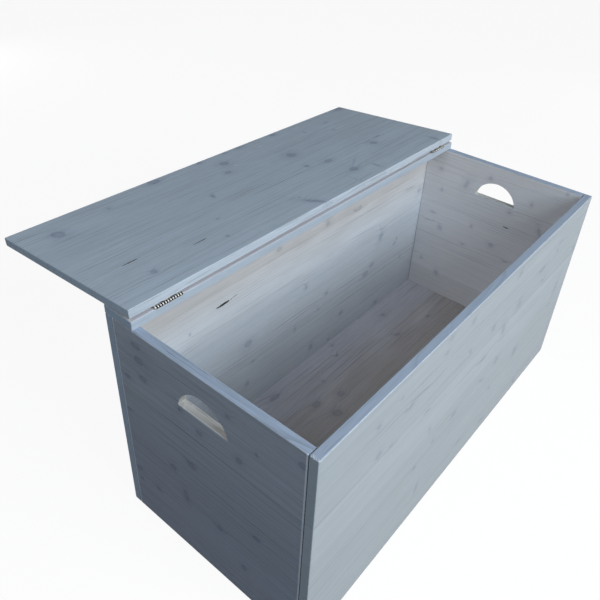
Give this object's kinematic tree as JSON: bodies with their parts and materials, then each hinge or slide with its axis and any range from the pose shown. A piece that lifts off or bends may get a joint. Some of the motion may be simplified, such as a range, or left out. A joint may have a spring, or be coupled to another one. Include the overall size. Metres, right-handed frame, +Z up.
{
  "type": "storage chest",
  "caption": "Long box of stained softwood panels with D-shaped hand holes in its sides and a flat lid butt-hinged to a fixed rear rail, shown open.",
  "frame": {"origin": "on the floor, in the middle of the back panel's lower edge (half way through its thickness)", "axes": "+X along the chest to its right-hand end, +Y from the front panel to the back, +Z up; the lid is open"},
  "size_m": [1.07, 0.7883, 0.5438],
  "materials": {
    "stained_spruce": "matt grey-blue whitewash on edge-glued spruce",
    "beech": "raw",
    "hinge_steel": "bright zinc",
    "zinc_screw": "bright zinc"
  },
  "bodies": {
    "chest": {"back_floor_cleat": "stained_spruce", "back_left_dowels": "beech", "back_panel": "stained_spruce", "back_right_dowels": "beech", "cleat_floor_screws": "zinc_screw", "cleat_wall_screws": "zinc_screw", "floor_panel": "stained_spruce", "front_floor_cleat": "stained_spruce", "front_left_dowels": "beech", "front_panel": "stained_spruce", "front_right_dowels": "beech", "hinge_rail": "stained_spruce", "left_floor_cleat": "stained_spruce", "left_hinge_rail_leaf": "hinge_steel", "left_hinge_rail_screws": "zinc_screw", "left_side_panel": "stained_spruce", "rail_dowels": "beech", "right_floor_cleat": "stained_spruce", "right_hinge_rail_leaf": "hinge_steel", "right_hinge_rail_screws": "zinc_screw", "right_side_panel": "stained_spruce"},
    "lid": {"left_hinge_lid_leaf": "hinge_steel", "left_hinge_lid_screws": "zinc_screw", "left_hinge_pin": "hinge_steel", "lid_panel": "stained_spruce", "right_hinge_lid_leaf": "hinge_steel", "right_hinge_lid_screws": "zinc_screw", "right_hinge_pin": "hinge_steel"}
  },
  "joints": [
    {"name": "lid_hinge", "type": "hinge", "parent": "chest", "child": "lid", "pos_m": [0, -0.0655, 0.52325], "axis": [1, 0, 0], "range_deg": [0, 184.34]}
  ]
}
